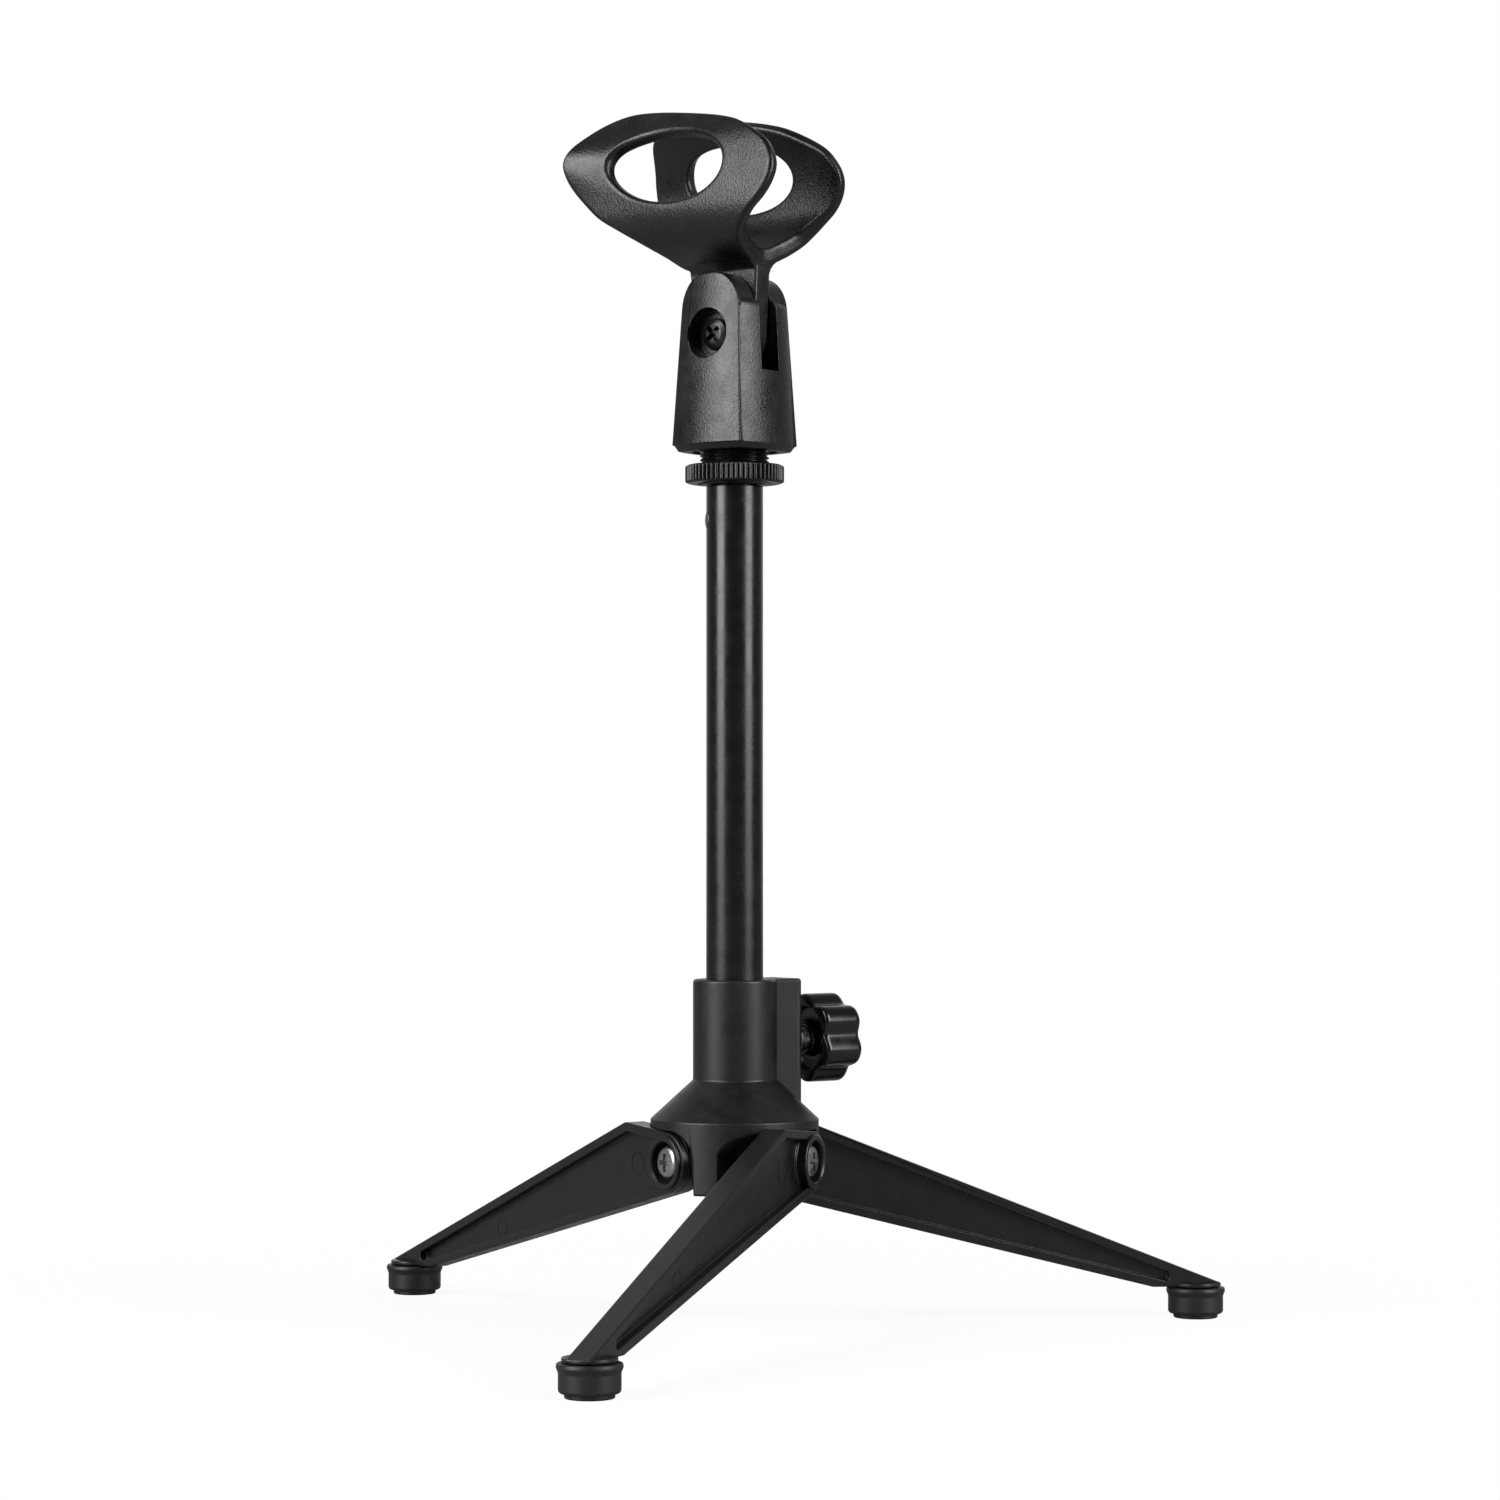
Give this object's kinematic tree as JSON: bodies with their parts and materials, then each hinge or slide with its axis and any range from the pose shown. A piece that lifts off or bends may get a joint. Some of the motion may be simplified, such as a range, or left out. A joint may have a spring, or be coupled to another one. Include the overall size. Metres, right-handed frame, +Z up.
{
  "type": "desktop microphone stand",
  "caption": "Black folding tripod desk stand for a microphone: moulded hub with clamp knob, steel tube, threaded stud with lock nut and a tilting spring clip with oval windows.",
  "frame": {"origin": "middle of the footprint's bounding box, on the desk plane that the three rubber pads stand on", "axes": "+Z up along the tube; X along the microphone when the clip is level; Y along the tilt screw, whose head faces -Y"},
  "size_m": [0.1898, 0.2074, 0.2798],
  "materials": {
    "hub_plastic": "satin black moulded plastic with a very fine grain",
    "leg_plastic": "semi-gloss black moulded plastic with bright thin edges",
    "clip_plastic": "satin black moulded plastic with a fine spark-eroded grain",
    "knob_plastic": "glossy black plastic",
    "tube_paint": "satin black paint on a steel tube",
    "foot_rubber": "matte black rubber",
    "black_steel": "black oxide steel, slightly worn on the crests",
    "bright_steel": "nickel plated steel",
    "brass": "turned brass"
  },
  "bodies": {
    "hub": {"hub": "hub_plastic", "clamp_nut": "brass", "leg_screw_1": "bright_steel", "leg_washer_1": "bright_steel", "leg_insert_1": "brass", "leg_screw_2": "bright_steel", "leg_washer_2": "bright_steel", "leg_insert_2": "brass", "leg_screw_3": "bright_steel", "leg_washer_3": "bright_steel", "leg_insert_3": "brass"},
    "mast": {"tube": "tube_paint", "tube_plug": "hub_plastic", "thread_stud": "black_steel", "stud_pin": "bright_steel"},
    "lock_nut": {"lock_nut": "black_steel"},
    "clip_base": {"clip_base": "clip_plastic", "thread_insert": "black_steel", "tilt_screw": "black_steel", "tilt_nut": "bright_steel"},
    "clip_head": {"clip_head": "clip_plastic"},
    "clamp_stud": {"clamp_stud": "bright_steel"},
    "clamp_knob": {"clamp_knob": "knob_plastic"},
    "leg_1": {"leg_1": "leg_plastic", "foot_cap_1": "foot_rubber", "foot_pad_1": "foot_rubber"},
    "leg_2": {"leg_2": "leg_plastic", "foot_cap_2": "foot_rubber", "foot_pad_2": "foot_rubber"},
    "leg_3": {"leg_3": "leg_plastic", "foot_cap_3": "foot_rubber", "foot_pad_3": "foot_rubber"}
  },
  "joints": [
    {"name": "leg_1_fold", "type": "hinge", "parent": "hub", "child": "leg_1", "pos_m": [0.01163, 0.01633, 0.0396], "axis": [-0.7254, 0.6884, 0], "range_deg": [0, 70]},
    {"name": "leg_2_fold", "type": "hinge", "parent": "hub", "child": "leg_2", "pos_m": [0.01987, -0.01149, 0.0396], "axis": [-0.2334, -0.9724, 0], "range_deg": [0, 70]},
    {"name": "leg_3_fold", "type": "hinge", "parent": "hub", "child": "leg_3", "pos_m": [0.03984, 0.00956, 0.0396], "axis": [0.9588, 0.284, 0], "range_deg": [0, 70]},
    {"name": "mast_slide", "type": "slide", "parent": "hub", "child": "mast", "axis": [0, 0, 1], "range_m": [-0.03, 0.015]},
    {"name": "lock_nut_turn", "type": "hinge", "parent": "mast", "child": "lock_nut", "pos_m": [0.02378, 0.0048, 0.1957], "axis": [0, 0, 1], "range_deg": [0, 1080]},
    {"name": "clip_turn", "type": "hinge", "parent": "mast", "child": "clip_base", "pos_m": [0.02378, 0.0048, 0.21], "axis": [0, 0, 1], "range_deg": [-180, 180]},
    {"name": "clip_tilt", "type": "hinge", "parent": "clip_base", "child": "clip_head", "pos_m": [0.02378, 0.0048, 0.2271], "axis": [0, 1, 0], "range_deg": [-65, 80]},
    {"name": "clamp_feed", "type": "slide", "parent": "hub", "child": "clamp_stud", "axis": [0.2334, 0.9724, 0], "range_m": [0, 0.003]},
    {"name": "clamp_turn", "type": "hinge", "parent": "clamp_stud", "child": "clamp_knob", "pos_m": [0.02961, 0.02911, 0.0666], "axis": [0.2334, 0.9724, 0], "range_deg": [0, 1080]}
  ],
  "couplings": [
    {"joint": "clamp_turn", "follows": "clamp_feed", "rad_per_m": 6283.2}
  ]
}
